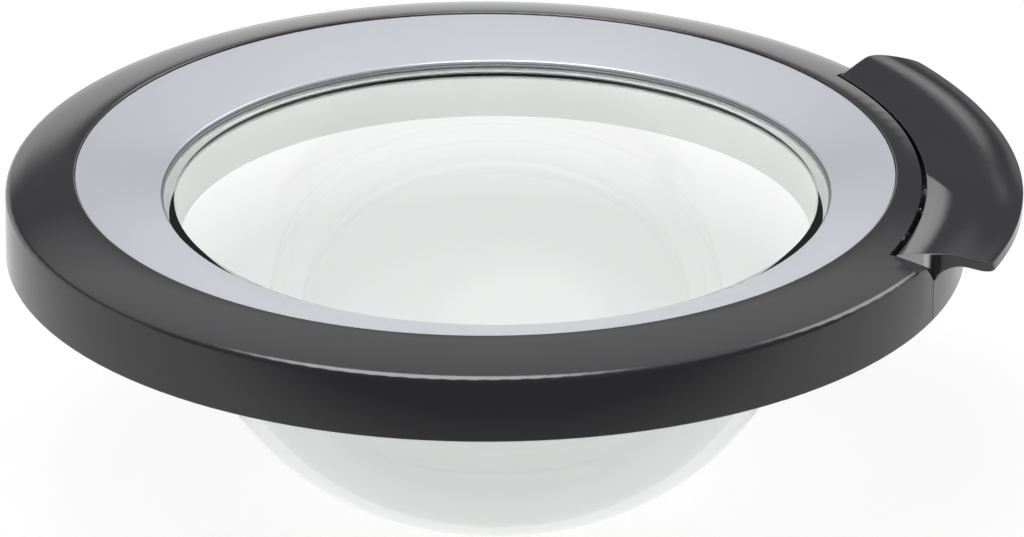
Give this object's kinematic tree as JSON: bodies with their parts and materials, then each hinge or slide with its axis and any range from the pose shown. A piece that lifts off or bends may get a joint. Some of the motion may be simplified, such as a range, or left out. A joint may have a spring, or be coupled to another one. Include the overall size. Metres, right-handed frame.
{
  "type": "washing machine door",
  "caption": "Round front-loading washing machine door with a dark gloss ring, bright funnel trim, clear glass bowl, pull handle with latch hook, and a pin hinge.",
  "frame": {"origin": "centre of the hinge bracket's screw pattern, on the face that meets the machine's front panel", "axes": "+Z out of the machine, so the door lies face up; +X from the hinge to the handle; the hinge pin runs along Y"},
  "size_m": [0.477, 0.45, 0.1694],
  "materials": {
    "graphite_gloss": "gloss, pigmented",
    "trim_chrome": "bright plated",
    "clear_glass": "clear, polished",
    "rear_white": "fine moulded grain",
    "carrier_grey": "satin",
    "cast_hinge": "satin cast",
    "plain_steel": "zinc plated",
    "bush_plastic": "natural"
  },
  "bodies": {
    "bracket": {"hinge_bracket": "cast_hinge", "hinge_bush_upper": "bush_plastic", "hinge_bush_lower": "bush_plastic"},
    "door": {"front_ring": "graphite_gloss", "trim_ring": "trim_chrome", "glass_bowl": "clear_glass", "rear_ring": "rear_white", "handle_housing": "carrier_grey", "handle_pins": "plain_steel", "handle_springs": "plain_steel", "hook_pin": "plain_steel", "hook_spring": "plain_steel", "hinge_leaf": "cast_hinge", "hinge_pin": "plain_steel", "hinge_backing_plate": "plain_steel", "clamp_screws": "plain_steel", "housing_screws": "plain_steel", "hinge_screws": "plain_steel"},
    "pull_handle": {"handle": "graphite_gloss"},
    "hook": {"latch_hook": "cast_hinge"}
  },
  "joints": [
    {"name": "door_swing", "type": "hinge", "parent": "bracket", "child": "door", "pos_m": [-0.016, 0, 0.013], "axis": [0, -1, 0], "range_deg": [0, 120]},
    {"name": "handle_pull", "type": "hinge", "parent": "door", "child": "pull_handle", "pos_m": [0.3865, 0, 0.048], "axis": [0, -1, 0], "range_deg": [0, 9], "stiffness_Nm_per_rad": 0.4, "springref_deg": -17.19, "deforming": ["handle_springs"]},
    {"name": "hook_pivot", "type": "hinge", "parent": "door", "child": "hook", "pos_m": [0.398, 0, 0.0355], "axis": [0, 1, 0], "range_deg": [0, 8.1], "stiffness_Nm_per_rad": 0.05, "springref_deg": -17.19, "deforming": ["hook_spring"]}
  ],
  "couplings": [
    {"joint": "hook_pivot", "follows": "handle_pull", "ratio": 0.9}
  ]
}
